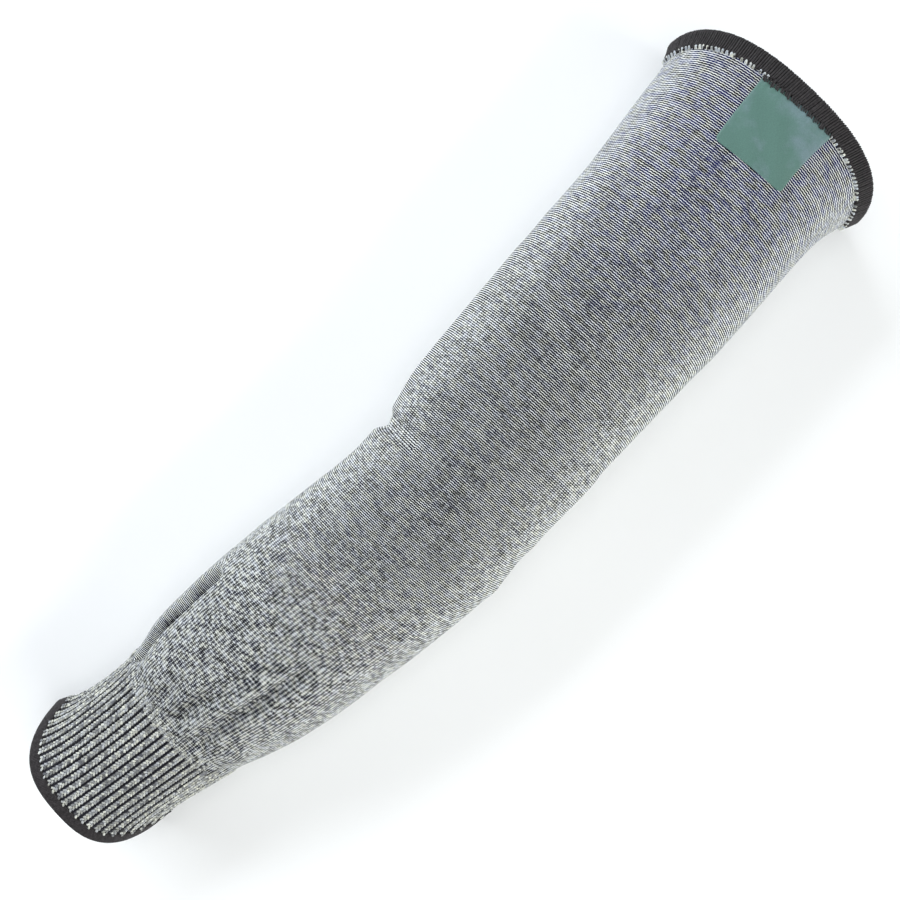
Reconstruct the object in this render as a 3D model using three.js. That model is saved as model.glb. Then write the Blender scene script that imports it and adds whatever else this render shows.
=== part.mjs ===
// Cut resistant sleeve: a knitted tube for the arm, lying on a flat surface with its label up.
// Millimetres, +Z up. +X runs from the wrist to the upper arm, +Y across the arm.
import * as THREE from 'three';

// Form of the sleeve as it lies
const SLEEVE_LENGTH = 457;        // 18 inches, between the outermost points of the two bound ends
const UPPER_ARM_WIDTH = 98;       // across the middle of the upper arm
const ELBOW_HEIGHT = 68;          // from the surface to the top of the elbow
const ARM_BOW = 20.4;             // the elbow's offset from the line between the two ends
const WRIST_LEAD = 25.5;          // the top of the wrist end stands this far out past its sides
const UPPER_LEAD = 15.5;          // the same at the upper end
const UNDER_LEAD = 0.5;           // the underside's share of both leads
const COURSE_TURN = 6.7;          // degrees that the rows of knit turn from square, at their most
const WIDEST_LEVEL = 0.45;        // share of the height where a section is widest
const UNDER_SQUARENESS = 2.7;     // exponent of the lower half of a section
const UNDER_FLATTENING = 0.02;    // share of the height that the surface presses flat
const LEAD_FULLNESS = 1.5;        // how blunt an end looks from above
const SIDE_SOFTNESS = 0.1;        // rounds the turn of an end at its sides

// Cloth
const KNIT_WALL = 1.5;
const CUFF_SIDE_LENGTH = 39;      // ribbed cuff, along its side edge
const RIB_COUNT = 54;
const RIB_DEPTH = 0.9;
const RIB_RUN_OUT = 3;            // the ribs rise to their full depth over this length
const FOLD_DEPTH = 5;
const FOLD_REACH = 10;

// Bindings: a strip folded round each edge
const WRIST_BINDING_WIDTH = 5.5;
const WRIST_BINDING_WALL = 0.9;
const UPPER_BINDING_WIDTH = 8.4;
const UPPER_BINDING_WALL = 1.2;
const BINDING_ROUNDING = 0.6;     // of the outer corners, as a share of the strip's thickness
const LIFT_RUN_OUT = 30;          // the cloth comes down to the surface over this length

// Label
const LABEL_WIDTH = 37.5;         // along the binding
const LABEL_HEIGHT = 33;
const LABEL_CORNER = 2;
const LABEL_THICKNESS = 0.5;
const LABEL_TURN = 4;             // degrees against the rows of knit
const LABEL_SIDE_SHIFT = 3;       // from the highest line of the sleeve towards -Y
const LABEL_CLEARANCE = 0.3;

const CLEARANCE = 0.3;            // between pieces that touch
const SIDE_LENGTH = SLEEVE_LENGTH - WRIST_LEAD - UPPER_LEAD;

// Facets
const TUBE_SIDES = 44;
const CUFF_SIDES = RIB_COUNT * 2;
const LABEL_RINGS = 4;
const LABEL_SIDES = 40;
const QUARTER = Math.PI / 2;

// Sections along the side edge, from the wrist (0) to the upper end (1).
// wide is a share of UPPER_ARM_WIDTH, tall of ELBOW_HEIGHT, bow of ARM_BOW, turn of COURSE_TURN.
// lead is a share of WRIST_LEAD where it is negative and of UPPER_LEAD where it is positive.
const SECTIONS = [
  { at: 0.000, wide: 0.720, tall: 0.66, bow: -0.02, lead: -1.00, turn: -0.35 },
  { at: 0.032, wide: 0.676, tall: 0.67, bow: 0.15, lead: -0.68, turn: -0.40 },
  { at: 0.076, wide: 0.690, tall: 0.70, bow: 0.32, lead: -0.27, turn: -0.70 },
  { at: 0.110, wide: 0.733, tall: 0.75, bow: 0.39, lead: -0.14, turn: -0.60 },
  { at: 0.143, wide: 0.813, tall: 0.84, bow: 0.43, lead: -0.10, turn: -0.60 },
  { at: 0.187, wide: 0.870, tall: 0.89, bow: 0.54, lead: -0.09, turn: -0.40 },
  { at: 0.275, wide: 0.923, tall: 0.94, bow: 0.71, lead: -0.08, turn: 0.20 },
  { at: 0.386, wide: 0.932, tall: 0.97, bow: 0.94, lead: -0.08, turn: 0.60 },
  { at: 0.441, wide: 0.915, tall: 0.99, bow: 1.00, lead: -0.08, turn: 0.70 },
  { at: 0.475, wide: 0.907, tall: 1.00, bow: 0.94, lead: -0.08, turn: 0.70 },
  { at: 0.497, wide: 0.918, tall: 1.00, bow: 0.92, lead: -0.07, turn: 0.70 },
  { at: 0.563, wide: 0.961, tall: 1.01, bow: 0.73, lead: -0.03, turn: 0.70 },
  { at: 0.696, wide: 0.996, tall: 1.02, bow: 0.51, lead: 0.03, turn: 0.65 },
  { at: 0.829, wide: 1.020, tall: 1.01, bow: 0.33, lead: 0.20, turn: 0.50 },
  { at: 0.939, wide: 1.052, tall: 0.99, bow: 0.07, lead: 0.60, turn: 0.58 },
  { at: 0.983, wide: 1.118, tall: 0.97, bow: 0.05, lead: 0.90, turn: 0.30 },
  { at: 1.000, wide: 1.180, tall: 0.96, bow: 0.04, lead: 1.00, turn: 0.41 },
];

// Folds: each runs straight from one place of the skin to another. Rounds are degrees from
// the -Y side over the top. depth is a share of FOLD_DEPTH, inwards, and a ridge has a
// negative one. reach is a share of FOLD_REACH, from the fold's line to where it fades out.
const FOLDS = [
  { name: 'wrist pocket', at: 0.114, round: 157, toAt: 0.235, toRound: 155, depth: 1.00, reach: 0.75 },
  { name: 'elbow notch', at: 0.491, round: 205, toAt: 0.494, toRound: 130, depth: 0.75, reach: 0.75 },
  { name: 'gather valley', at: 0.117, round: 67, toAt: 0.256, toRound: 66, depth: 0.45, reach: 0.60 },
  { name: 'middle gather', at: 0.112, round: 91, toAt: 0.150, toRound: 88, depth: 0.25, reach: 0.50 },
  { name: 'upper gather ridge', at: 0.112, round: 101, toAt: 0.157, toRound: 98, depth: -0.25, reach: 0.50 },
  { name: 'lower gather ridge', at: 0.112, round: 81, toAt: 0.202, toRound: 76, depth: -0.30, reach: 0.55 },
  { name: 'upper puff', at: 0.119, round: 138, toAt: 0.119, toRound: 120, depth: -0.35, reach: 0.85 },
  { name: 'lower puff', at: 0.121, round: 48, toAt: 0.124, toRound: 34, depth: -0.30, reach: 0.85 },
  { name: 'upper arm dent', at: 0.710, round: 115, toAt: 0.850, toRound: 127, depth: 0.30, reach: 1.10 },
  { name: 'elbow dent', at: 0.584, round: 71, toAt: 0.662, toRound: 72, depth: 0.28, reach: 1.00 },
  { name: 'elbow ridge', at: 0.480, round: 92, toAt: 0.625, toRound: 89, depth: -0.20, reach: 0.90 },
  { name: 'outer swell', at: 0.560, round: 18, toAt: 0.580, toRound: 15, depth: -0.22, reach: 1.20 },
  { name: 'outer corner', at: 0.420, round: 25, toAt: 0.430, toRound: 12, depth: -0.22, reach: 0.90 },
];

// Rows of facets along the tube: how many there are up to each place
const TUBE_BANDS = [
  { upTo: 0.25, rows: 12 },
  { upTo: 0.44, rows: 7 },
  { upTo: 0.53, rows: 7 },
  { upTo: 0.90, rows: 10 },
  { upTo: 1.00, rows: 3 },
];

const finish = (name, color, roughness) => (
  new THREE.MeshStandardMaterial({ name, color, roughness, metalness: 0 })
);
const CLOTH = finish('grey_knit', 0x8f9291, 0.95);
const RIB_CLOTH = finish('grey_rib', 0x9a9c98, 0.95);
const EDGING = finish('charcoal_edging', 0x2f2c2d, 0.9);
const LABEL_CLOTH = finish('teal_label', 0x567b71, 0.55);

// A column of SECTIONS at a place along the side edge, smooth through its rows
function sectionValue(column, at) {
  const last = SECTIONS.length - 1;
  let row = 0;
  while (row < last - 1 && SECTIONS[row + 1].at <= at) {
    row += 1;
  }
  const slope = (index) => {
    const before = SECTIONS[Math.max(index - 1, 0)];
    const after = SECTIONS[Math.min(index + 1, last)];
    return (after[column] - before[column]) / (after.at - before.at);
  };
  const from = SECTIONS[row];
  const to = SECTIONS[row + 1];
  const span = to.at - from.at;
  const t = (at - from.at) / span;
  const t2 = t * t;
  const t3 = t2 * t;
  return from[column] * (2 * t3 - 3 * t2 + 1) + to[column] * (3 * t2 - 2 * t3)
    + span * (slope(row) * (t3 - 2 * t2 + t) + slope(row + 1) * (t3 - t2));
}

// The cloth's height over the surface: bindings and ribs hold it up, and between them it lies flat
function liftAt(at) {
  const fromWrist = at * SIDE_LENGTH;
  const fromUpper = (1 - at) * SIDE_LENGTH;
  const ribs = RIB_DEPTH / 2;
  const holds = [
    { distance: fromWrist, until: WRIST_BINDING_WIDTH, height: WRIST_BINDING_WALL + CLEARANCE - ribs },
    { distance: fromWrist, until: CUFF_SIDE_LENGTH, height: ribs },
    { distance: fromUpper, until: UPPER_BINDING_WIDTH, height: UPPER_BINDING_WALL + CLEARANCE },
  ];
  let lift = 0;
  for (const hold of holds) {
    const fade = 1 - THREE.MathUtils.smoothstep(hold.distance, hold.until, hold.until + LIFT_RUN_OUT);
    lift += fade * hold.height;
  }
  return lift;
}

// The skin of the cloth without its folds
function plainSkin(at, round) {
  const half = sectionValue('wide', at) * UPPER_ARM_WIDTH / 2;
  const tall = sectionValue('tall', at) * ELBOW_HEIGHT;
  const share = sectionValue('lead', at);
  const lead = share * (share < 0 ? WRIST_LEAD : UPPER_LEAD);
  const slant = Math.tan(THREE.MathUtils.degToRad(sectionValue('turn', at) * COURSE_TURN));
  const across = Math.cos(round);
  const rise = Math.sin(round);
  const softened = (Math.hypot(rise, SIDE_SOFTNESS) - SIDE_SOFTNESS)
    / (Math.hypot(1, SIDE_SOFTNESS) - SIDE_SOFTNESS);
  const fullness = 1 - (1 - softened) ** LEAD_FULLNESS;
  let side = across;
  let level = WIDEST_LEVEL + (1 - WIDEST_LEVEL) * rise;
  let reach = fullness;
  if (rise < 0) {
    const power = 2 / UNDER_SQUARENESS;
    side = Math.sign(across) * Math.abs(across) ** power;
    level = WIDEST_LEVEL - (WIDEST_LEVEL + UNDER_FLATTENING) * Math.abs(rise) ** power;
    reach = fullness * UNDER_LEAD;
  }
  return new THREE.Vector3(
    -SLEEVE_LENGTH / 2 + WRIST_LEAD + at * SIDE_LENGTH + lead * reach + slant * half * side,
    -sectionValue('bow', at) * ARM_BOW - half * side,
    liftAt(at) + Math.max(level, 0) * tall,
  );
}

// Point, outward direction and paces of a surface: mm for a whole of at, for a radian round,
// and for a whole of at measured square to the row that passes here
function frameOf(surface, at, round) {
  const STEP = 0.002;
  const before = surface(Math.max(at - STEP, 0), round);
  const after = surface(Math.min(at + STEP, 1), round);
  const reached = Math.min(at + STEP, 1) - Math.max(at - STEP, 0);
  const along = after.sub(before).divideScalar(reached);
  const around = surface(at, round + STEP).sub(surface(at, round - STEP)).divideScalar(2 * STEP);
  const out = new THREE.Vector3().crossVectors(along, around);
  return {
    point: surface(at, round),
    pace: along.length(),
    roundPace: around.length(),
    squarePace: out.length() / around.length(),
    out: out.normalize(),
  };
}

// How far the folds move the skin, outwards
function relief(at, round) {
  const radius = (UPPER_ARM_WIDTH + ELBOW_HEIGHT) / 4;
  let sum = 0;
  for (const fold of FOLDS) {
    const start = new THREE.Vector2(fold.at * SIDE_LENGTH, THREE.MathUtils.degToRad(fold.round) * radius);
    const end = new THREE.Vector2(fold.toAt * SIDE_LENGTH, THREE.MathUtils.degToRad(fold.toRound) * radius);
    const place = new THREE.Vector2(at * SIDE_LENGTH, round * radius);
    const run = end.clone().sub(start);
    const share = THREE.MathUtils.clamp(place.clone().sub(start).dot(run) / run.lengthSq(), 0, 1);
    const distance = place.distanceTo(start.addScaledVector(run, share));
    const reach = fold.reach * FOLD_REACH;
    if (distance < reach) {
      sum -= fold.depth * FOLD_DEPTH * Math.cos(distance / reach * QUARTER) ** 2;
    }
  }
  return sum;
}

// The outer skin of the cloth
function skin(at, round) {
  const fold = relief(at, round);
  if (fold === 0) {
    return plainSkin(at, round);
  }
  const bare = frameOf(plainSkin, at, round);
  return bare.point.addScaledVector(bare.out, fold);
}

// The place a given distance from an end, measured over the skin and square to the edge
function fromEnd(end, round, distance) {
  return Math.abs(end - distance / frameOf(skin, end, round).squarePace);
}

// A point under (negative) or over the skin
function offSkin(at, round, height) {
  const frame = frameOf(skin, at, round);
  return frame.point.addScaledVector(frame.out, height);
}

// Angles round the sleeve in equal steps
function equalRounds(count) {
  return Array.from({ length: count }, (_, i) => i / count * 2 * Math.PI);
}

// Angles round the sleeve whose places on the skin are the same length apart
function spacedRounds(count, at) {
  const STEPS = 720;
  const fine = equalRounds(STEPS);
  const lengths = [0];
  for (let i = 0; i < STEPS; i += 1) {
    const pace = plainSkin(at, fine[i]).distanceTo(plainSkin(at, fine[(i + 1) % STEPS]));
    lengths.push(lengths[i] + pace);
  }
  let step = 0;
  return equalRounds(count).map((share) => {
    const target = share / (2 * Math.PI) * lengths[STEPS];
    while (lengths[step + 1] <= target) {
      step += 1;
    }
    const part = (target - lengths[step]) / (lengths[step + 1] - lengths[step]);
    return (step + part) / STEPS * 2 * Math.PI;
  });
}

// One row of points round the sleeve
function ring(rounds, pointAt) {
  return rounds.map((round, i) => pointAt(round, i));
}

// A closed body from rows of points: the rows close on themselves and so does their sequence
function ringBody(rows) {
  const sides = rows[0].length;
  const positions = rows.flat().flatMap((point) => point.toArray());
  const index = [];
  for (let row = 0; row < rows.length; row += 1) {
    const nextRow = (row + 1) % rows.length;
    for (let side = 0; side < sides; side += 1) {
      const nextSide = (side + 1) % sides;
      const a = row * sides + side;
      const b = nextRow * sides + side;
      const c = nextRow * sides + nextSide;
      const d = row * sides + nextSide;
      index.push(a, b, c, a, c, d);
    }
  }
  return closedGeometry(positions, index);
}

function closedGeometry(positions, index) {
  const geometry = new THREE.BufferGeometry();
  geometry.setAttribute('position', new THREE.Float32BufferAttribute(positions, 3));
  geometry.setIndex(index);
  geometry.computeVertexNormals();
  return geometry;
}

function piece(name, geometry, material) {
  const mesh = new THREE.Mesh(geometry, material);
  mesh.name = name;
  return mesh;
}

const CUFF_END = CUFF_SIDE_LENGTH / SIDE_LENGTH;
const TUBE_ROUNDS = equalRounds(TUBE_SIDES);
const CUFF_ROUNDS = spacedRounds(CUFF_SIDES, CUFF_END / 2);
const RIB_ROUNDS = CUFF_ROUNDS.filter((_, i) => i % 2 === 0);

// Plain knit from the cuff to the upper end, open at both ends. Its last two rows are where the
// binding starts and the cloth's own edge inside the binding.
function armTube() {
  const shares = [];
  let from = CUFF_END;
  for (const band of TUBE_BANDS) {
    for (let row = 0; row < band.rows; row += 1) {
      shares.push((from + (band.upTo - from) * row / band.rows - CUFF_END) / (1 - CUFF_END));
    }
    from = band.upTo;
  }
  shares.push(1);
  const openRow = (share, height) => ring(TUBE_ROUNDS, (round) => {
    const first = CUFF_END + CLEARANCE / 2 / frameOf(skin, CUFF_END, round).pace;
    const last = fromEnd(1, round, UPPER_BINDING_WIDTH);
    return offSkin(first + (last - first) * share, round, height);
  });
  const edgeRow = (height) => ring(
    TUBE_ROUNDS,
    (round) => offSkin(fromEnd(1, round, UPPER_BINDING_WALL + CLEARANCE), round, height),
  );
  const wallRows = (height) => [...shares.map((share) => openRow(share, height)), edgeRow(height)];
  return ringBody([...wallRows(0), ...wallRows(-KNIT_WALL).reverse()]);
}

// Ribbed cuff: the ribs run along the arm and fade out where the binding holds them flat
function ribCuff() {
  const edge = (round) => fromEnd(0, round, WRIST_BINDING_WALL + CLEARANCE);
  const bound = (round) => fromEnd(0, round, WRIST_BINDING_WIDTH);
  const ribbed = (round) => fromEnd(0, round, WRIST_BINDING_WIDTH + RIB_RUN_OUT);
  const open = (share) => (round) => {
    const last = CUFF_END - CLEARANCE / 2 / frameOf(skin, CUFF_END, round).pace;
    return ribbed(round) + (last - ribbed(round)) * share;
  };
  const outerRows = [
    { place: edge, rib: 0 },
    { place: bound, rib: 0 },
    { place: ribbed, rib: 1 },
    { place: open(0.35), rib: 1 },
    { place: open(0.7), rib: 1 },
    { place: open(1), rib: 1 },
  ];
  const innerPlaces = [open(1), open(0.5), bound, edge];
  const outer = outerRows.map((row) => ring(CUFF_ROUNDS, (round, i) => {
    const side = i % 2 === 0 ? 0.5 : -0.5;
    return offSkin(row.place(round), round, row.rib * side * RIB_DEPTH);
  }));
  const inner = innerPlaces.map((place) => ring(
    CUFF_ROUNDS,
    (round) => offSkin(place(round), round, -KNIT_WALL),
  ));
  return ringBody([...outer, ...inner]);
}

// A strip folded round one edge: a channel with the cloth's edge inside it.
// end is 0 at the wrist and 1 at the upper arm.
function binding(end, width, wall, rounds) {
  const outside = CLEARANCE + wall;
  const inside = -KNIT_WALL - CLEARANCE;
  const corner = wall * BINDING_ROUNDING;
  const section = [
    { in: width, over: outside },
    { in: corner, over: outside },
    { in: 0, over: outside - wall },
    { in: 0, over: inside },
    { in: corner, over: inside - wall },
    { in: width, over: inside - wall },
    { in: width, over: inside },
    { in: wall, over: inside },
    { in: wall, over: CLEARANCE },
    { in: width, over: CLEARANCE },
  ];
  const rows = section.map((place) => ring(
    rounds,
    (round) => offSkin(fromEnd(end, round, place.in), round, place.over),
  ));
  return ringBody(end === 0 ? rows.reverse() : rows);
}

// A thin square with round corners, bent to the cloth beside the upper binding
function label() {
  const turn = THREE.MathUtils.degToRad(LABEL_TURN);
  const middleRound = QUARTER - LABEL_SIDE_SHIFT / frameOf(skin, 1, QUARTER).roundPace;
  const overhang = LABEL_WIDTH / 2 * Math.sin(turn) + LABEL_HEIGHT / 2 * Math.cos(turn);
  const middleAt = fromEnd(1, middleRound, UPPER_BINDING_WIDTH + LABEL_CLEARANCE + overhang);
  const middle = frameOf(plainSkin, middleAt, middleRound);
  const place = (across, up, height) => {
    const along = up * Math.cos(turn) + across * Math.sin(turn);
    const aside = across * Math.cos(turn) - up * Math.sin(turn);
    return offSkin(middleAt + along / middle.pace, middleRound - aside / middle.roundPace, height);
  };
  const outline = (angle) => {
    const half = new THREE.Vector2(LABEL_WIDTH / 2 - LABEL_CORNER, LABEL_HEIGHT / 2 - LABEL_CORNER);
    const far = Math.max(Math.abs(Math.cos(angle)), Math.abs(Math.sin(angle)));
    const square = new THREE.Vector2(Math.cos(angle), Math.sin(angle)).divideScalar(far);
    const direction = square.clone().normalize();
    return square.multiply(half).addScaledVector(direction, LABEL_CORNER);
  };
  const layer = (height) => {
    const points = [place(0, 0, height)];
    for (let step = 1; step <= LABEL_RINGS; step += 1) {
      for (let side = 0; side < LABEL_SIDES; side += 1) {
        const corner = outline(side / LABEL_SIDES * 2 * Math.PI).multiplyScalar(step / LABEL_RINGS);
        points.push(place(corner.x, corner.y, height));
      }
    }
    return points;
  };
  const under = layer(LABEL_CLEARANCE);
  const over = layer(LABEL_CLEARANCE + LABEL_THICKNESS);
  const index = [];
  const count = under.length;
  const at = (step, side) => (step === 0 ? 0 : 1 + (step - 1) * LABEL_SIDES + side % LABEL_SIDES);
  for (let side = 0; side < LABEL_SIDES; side += 1) {
    const next = side + 1;
    for (let step = 0; step < LABEL_RINGS; step += 1) {
      const quad = [at(step, side), at(step + 1, side), at(step + 1, next), at(step, next)];
      const [a, b, c, d] = quad;
      index.push(a, c, b, count + a, count + b, count + c);
      if (step > 0) {
        index.push(a, d, c, count + a, count + c, count + d);
      }
    }
    const rim = at(LABEL_RINGS, side);
    const rimNext = at(LABEL_RINGS, next);
    index.push(rim, rimNext, count + rimNext, rim, count + rimNext, count + rim);
  }
  return closedGeometry([...under, ...over].flatMap((point) => point.toArray()), index);
}

const sleeve = new THREE.Group();
sleeve.name = 'cut_resistant_sleeve';
sleeve.add(
  piece('arm_tube', armTube(), CLOTH),
  piece('rib_cuff', ribCuff(), RIB_CLOTH),
  piece('wrist_binding', binding(0, WRIST_BINDING_WIDTH, WRIST_BINDING_WALL, RIB_ROUNDS), EDGING),
  piece('upper_binding', binding(1, UPPER_BINDING_WIDTH, UPPER_BINDING_WALL, TUBE_ROUNDS), EDGING),
  piece('label_patch', label(), LABEL_CLOTH),
);

// The origin is the middle of the sleeve's footprint, on the surface
const extent = new THREE.Box3().setFromObject(sleeve);
const middle = extent.getCenter(new THREE.Vector3());
sleeve.position.set(-middle.x, -middle.y, -extent.min.z);

export default sleeve;
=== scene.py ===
import math

import bpy
import numpy as np
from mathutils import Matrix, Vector


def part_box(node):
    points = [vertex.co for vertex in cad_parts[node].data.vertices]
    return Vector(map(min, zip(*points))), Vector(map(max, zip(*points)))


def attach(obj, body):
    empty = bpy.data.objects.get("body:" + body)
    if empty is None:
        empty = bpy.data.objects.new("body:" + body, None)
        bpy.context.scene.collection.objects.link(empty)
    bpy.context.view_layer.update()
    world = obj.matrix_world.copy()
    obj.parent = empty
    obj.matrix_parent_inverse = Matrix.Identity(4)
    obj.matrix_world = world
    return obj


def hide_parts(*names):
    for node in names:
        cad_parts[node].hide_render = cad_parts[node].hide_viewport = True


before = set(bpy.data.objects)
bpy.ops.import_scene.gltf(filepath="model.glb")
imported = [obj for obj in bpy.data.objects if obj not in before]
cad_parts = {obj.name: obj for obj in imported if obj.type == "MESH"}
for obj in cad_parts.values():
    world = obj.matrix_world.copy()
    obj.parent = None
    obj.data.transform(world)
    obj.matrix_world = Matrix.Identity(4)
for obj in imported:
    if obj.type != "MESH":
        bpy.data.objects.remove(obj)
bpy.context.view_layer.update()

# Form of the sleeve as it lies
SLEEVE_LENGTH = 457
UPPER_ARM_WIDTH = 98
ELBOW_HEIGHT = 68
ARM_BOW = 20.4
WRIST_LEAD = 25.5
UPPER_LEAD = 15.5
UNDER_LEAD = 0.5
COURSE_TURN = 6.7
WIDEST_LEVEL = 0.45
UNDER_SQUARENESS = 2.7
UNDER_FLATTENING = 0.02
LEAD_FULLNESS = 1.5
SIDE_SOFTNESS = 0.1

# Cloth, bindings and label
KNIT_WALL = 1.5
CUFF_SIDE_LENGTH = 39
RIB_COUNT = 54
RIB_DEPTH = 0.9
FOLD_DEPTH = 5
FOLD_REACH = 10
WRIST_BINDING_WIDTH = 5.5
WRIST_BINDING_WALL = 0.9
UPPER_BINDING_WIDTH = 8.4
UPPER_BINDING_WALL = 1.2
LIFT_RUN_OUT = 30
LABEL_WIDTH = 37.5
LABEL_HEIGHT = 33
LABEL_CORNER = 2.2
LABEL_THICKNESS = 0.5
LABEL_TURN = 4
LABEL_SIDE_SHIFT = 3
CLEARANCE = 0.3
SIDE_LENGTH = SLEEVE_LENGTH - WRIST_LEAD - UPPER_LEAD
CUFF_END = CUFF_SIDE_LENGTH / SIDE_LENGTH
MEAN_RADIUS = (UPPER_ARM_WIDTH + ELBOW_HEIGHT) / 4

# Stitches, threads and loops
WALES = 144
RIB_ROWS = 40
WRIST_EDGE_STITCHES = 300
UPPER_EDGE_STITCHES = 240
OVERLOCK_THREADS = 262
OVERLOCK_SCALLOPS = 110
OVERLOCK_SLANT = 1.2
EDGE_LOOPS = 150
LABEL_THREADS = 34

# Fineness of the meshes
TUBE_SIDES = 240
TUBE_ROWS = 290
TUBE_INNER_ROWS = 40
CUFF_SIDES = RIB_COUNT * 8
CUFF_ROWS = 44
EDGE_SIDES = 300
CAD_EDGE_SIDES = 44

# Sections along the side edge, from wrist to upper arm: shares of the sizes above
COLUMNS = ("at", "wide", "tall", "bow", "lead", "turn")
SECTIONS = np.array([
    (0.000, 0.720, 0.66, -0.02, -1.00, -0.35),
    (0.032, 0.676, 0.67, 0.15, -0.68, -0.40),
    (0.076, 0.690, 0.70, 0.32, -0.27, -0.70),
    (0.110, 0.733, 0.75, 0.39, -0.14, -0.60),
    (0.143, 0.813, 0.84, 0.43, -0.10, -0.60),
    (0.187, 0.870, 0.89, 0.54, -0.09, -0.40),
    (0.275, 0.923, 0.94, 0.71, -0.08, 0.20),
    (0.386, 0.932, 0.97, 0.94, -0.08, 0.60),
    (0.441, 0.915, 0.99, 1.00, -0.08, 0.70),
    (0.475, 0.907, 1.00, 0.94, -0.08, 0.70),
    (0.497, 0.918, 1.00, 0.92, -0.07, 0.70),
    (0.563, 0.961, 1.01, 0.73, -0.03, 0.70),
    (0.696, 0.996, 1.02, 0.51, 0.03, 0.65),
    (0.829, 1.020, 1.01, 0.33, 0.20, 0.50),
    (0.939, 1.052, 0.99, 0.07, 0.60, 0.58),
    (0.983, 1.118, 0.97, 0.05, 0.90, 0.30),
    (1.000, 1.180, 0.96, 0.04, 1.00, 0.41),
])

# Folds: place along and angle round of both ends of the line, then shares of FOLD_DEPTH and FOLD_REACH
FOLDS = [
    (0.114, 157, 0.235, 155, 1.00, 0.75),
    (0.491, 205, 0.494, 130, 0.75, 0.75),
    (0.117, 67, 0.256, 66, 0.45, 0.60),
    (0.112, 91, 0.150, 88, 0.25, 0.50),
    (0.112, 101, 0.157, 98, -0.25, 0.50),
    (0.112, 81, 0.202, 76, -0.30, 0.55),
    (0.119, 138, 0.119, 120, -0.35, 0.85),
    (0.121, 48, 0.124, 34, -0.30, 0.85),
    (0.710, 115, 0.850, 127, 0.30, 1.10),
    (0.584, 71, 0.662, 72, 0.28, 1.00),
    (0.480, 92, 0.625, 89, -0.20, 0.90),
    (0.560, 18, 0.580, 15, -0.22, 1.20),
    (0.420, 25, 0.430, 12, -0.22, 0.90),
]

# Sharp creases: both ends of the line, depth, and reach towards -Y and towards +Y. The last two
# run on from the cuff along the top.
CREASES = [
    (0.108, 161, 0.190, 151, 3.4, 1.6, 4.5),
    (0.190, 151, 0.240, 157, 3.4, 1.6, 4.5),
    (0.487, 178, 0.494, 150, 1.2, 2.0, 2.0),
    (0.104, 75, 0.235, 69, 1.1, 4.0, 1.8),
    (0.104, 96, 0.160, 92, 0.7, 2.5, 1.4),
]

RANDOM = np.random.default_rng(7)


# The cloth's surface

def section_value(column, at):
    """A column of SECTIONS at places along the side edge, smooth through its rows."""
    places, values = SECTIONS[:, 0], SECTIONS[:, COLUMNS.index(column)]
    last = len(places) - 1
    before = np.maximum(np.arange(last + 1) - 1, 0)
    after = np.minimum(np.arange(last + 1) + 1, last)
    slopes = (values[after] - values[before]) / (places[after] - places[before])
    row = np.clip(np.searchsorted(places, at, side="right") - 1, 0, last - 1)
    span = places[row + 1] - places[row]
    t = (at - places[row]) / span
    return (
        values[row] * (2 * t**3 - 3 * t**2 + 1)
        + values[row + 1] * (3 * t**2 - 2 * t**3)
        + span * (slopes[row] * (t**3 - 2 * t**2 + t) + slopes[row + 1] * (t**3 - t**2))
    )


def smooth(value, start, end):
    share = np.clip((value - start) / (end - start), 0, 1)
    return share * share * (3 - 2 * share)


def lift_at(at):
    """Height over the floor: bindings and ribs hold the cloth up at its ends."""
    ribs = RIB_DEPTH / 2
    holds = [
        (at * SIDE_LENGTH, WRIST_BINDING_WIDTH, WRIST_BINDING_WALL + CLEARANCE - ribs),
        (at * SIDE_LENGTH, CUFF_SIDE_LENGTH, ribs),
        ((1 - at) * SIDE_LENGTH, UPPER_BINDING_WIDTH, UPPER_BINDING_WALL + CLEARANCE),
    ]
    return sum(
        (1 - smooth(distance, until, until + LIFT_RUN_OUT)) * height
        for distance, until, height in holds
    )


def plain_skin(at, round_):
    """The skin of the cloth without folds. round_ is an angle from the -Y side over the top."""
    half = section_value("wide", at) * UPPER_ARM_WIDTH / 2
    tall = section_value("tall", at) * ELBOW_HEIGHT
    share = section_value("lead", at)
    lead = share * np.where(share < 0, WRIST_LEAD, UPPER_LEAD)
    slant = np.tan(np.radians(section_value("turn", at) * COURSE_TURN))
    across, rise = np.cos(round_), np.sin(round_)
    whole = math.hypot(1, SIDE_SOFTNESS) - SIDE_SOFTNESS
    softened = (np.hypot(rise, SIDE_SOFTNESS) - SIDE_SOFTNESS) / whole
    fullness = 1 - (1 - softened) ** LEAD_FULLNESS
    power = 2 / UNDER_SQUARENESS
    under = rise < 0
    side = np.where(under, np.sign(across) * np.abs(across) ** power, across)
    level = np.where(
        under,
        WIDEST_LEVEL - (WIDEST_LEVEL + UNDER_FLATTENING) * np.abs(rise) ** power,
        WIDEST_LEVEL + (1 - WIDEST_LEVEL) * rise,
    )
    reach = np.where(under, fullness * UNDER_LEAD, fullness)
    x = -SLEEVE_LENGTH / 2 + WRIST_LEAD + at * SIDE_LENGTH + lead * reach + slant * half * side
    y = -section_value("bow", at) * ARM_BOW - half * side
    z = lift_at(at) + np.maximum(level, 0) * tall
    return np.stack(np.broadcast_arrays(x, y, z), -1)


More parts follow.
